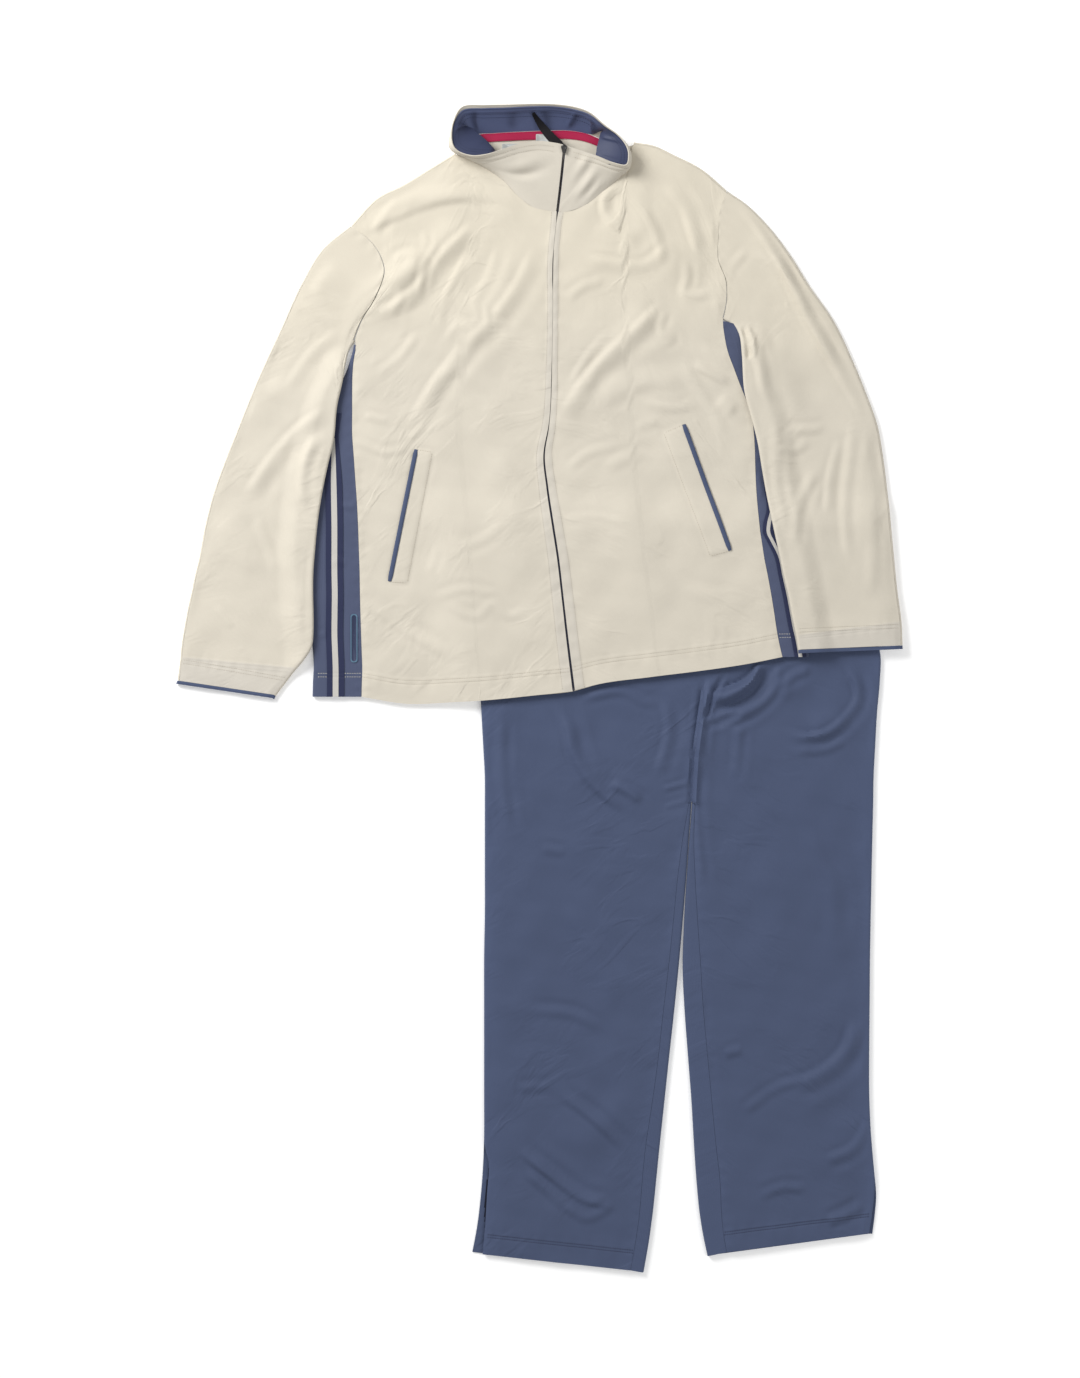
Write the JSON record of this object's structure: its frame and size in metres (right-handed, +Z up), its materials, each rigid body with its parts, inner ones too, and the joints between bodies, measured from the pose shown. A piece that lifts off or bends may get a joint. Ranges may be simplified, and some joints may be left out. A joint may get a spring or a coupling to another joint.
{
  "type": "tracksuit",
  "caption": "Zip jacket with a stand collar and striped side panels, laid flat over the waist of straight trousers.",
  "frame": {"origin": "middle of the whole layout's box, on the surface that it lies on", "axes": "+Z up from the surface, +Y from the trouser hems towards the collar, +X towards the wearer's left side"},
  "size_m": [0.9314, 1.4946, 0.029],
  "materials": {
    "cream_knit": "matt double knit with a soft sheen",
    "blue_knit": "matt knit with a soft sheen",
    "panel_knit": "matt knit with a soft sheen",
    "lining_knit": "smooth satiny knit",
    "stripe_tape": "flat woven tape in navy, white and navy",
    "badge": "plain woven patch with a navy edge",
    "neck_tape": "flat woven tape",
    "label": "plain satin label",
    "zip_tape": "woven zip tape with moulded teeth",
    "strap": "matt woven strap",
    "slider_metal": "dull dark metal"
  },
  "bodies": {
    "root": {"jacket_back": "cream_knit", "jacket_front_right": "cream_knit", "jacket_front_left": "cream_knit", "sleeve_right": "cream_knit", "sleeve_left": "cream_knit", "collar_outer": "cream_knit", "collar_lining": "lining_knit", "side_panel_right": "panel_knit", "side_panel_left": "panel_knit", "side_tape_right": "stripe_tape", "side_tape_left": "stripe_tape", "side_badge_right": "badge", "cuff_binding_right": "blue_knit", "cuff_binding_left": "blue_knit", "pocket_welt_right": "blue_knit", "pocket_welt_left": "blue_knit", "neck_tape": "neck_tape", "neck_label": "label", "size_label": "label", "zip_tape_right": "zip_tape", "zip_tape_left": "zip_tape", "zip_slider": "slider_metal", "puller_strap": "strap", "trouser_front_right": "blue_knit", "trouser_front_left": "blue_knit", "trouser_back_right": "blue_knit", "trouser_back_left": "blue_knit", "waistband": "blue_knit"}
  },
  "joints": []
}
